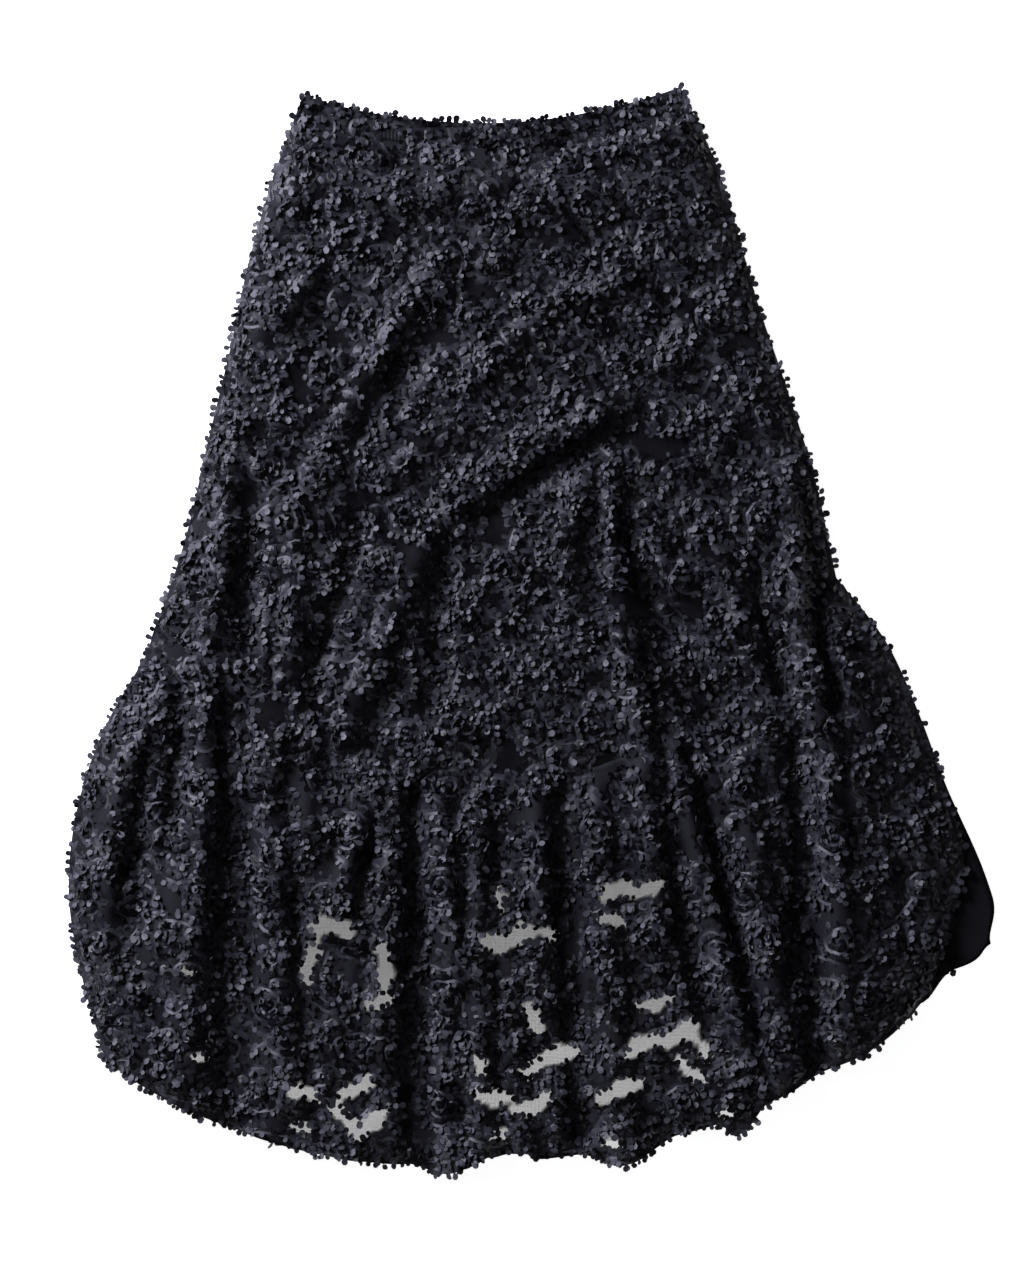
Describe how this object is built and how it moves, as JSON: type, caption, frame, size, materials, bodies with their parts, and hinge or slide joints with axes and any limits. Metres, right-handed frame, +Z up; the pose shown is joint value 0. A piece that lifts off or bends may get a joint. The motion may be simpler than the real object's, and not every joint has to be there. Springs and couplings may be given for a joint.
{
  "type": "lace maxi skirt laid flat",
  "caption": "Long A-line skirt of black rosette lace on net, with a gathered ruffle at the hem and a plain lining, laid out flat.",
  "frame": {"origin": "middle of the outline seen from above, on the surface that the skirt lies on", "axes": "+Y along the skirt from hem to waist, +X to the viewer's right with the front facing up, +Z up from the surface"},
  "size_m": [0.8781, 1.0377, 0.0337],
  "materials": {
    "lace": "matte ribbon rosettes on sheer net",
    "lining": "smooth satin",
    "waistband": "matte elastic"
  },
  "bodies": {
    "root": {"waistband_front": "waistband", "waistband_back": "waistband", "body_front": "lace", "body_back": "lace", "ruffle_front": "lace", "ruffle_back": "lace", "lining_front": "lining", "lining_back": "lining"}
  },
  "joints": []
}
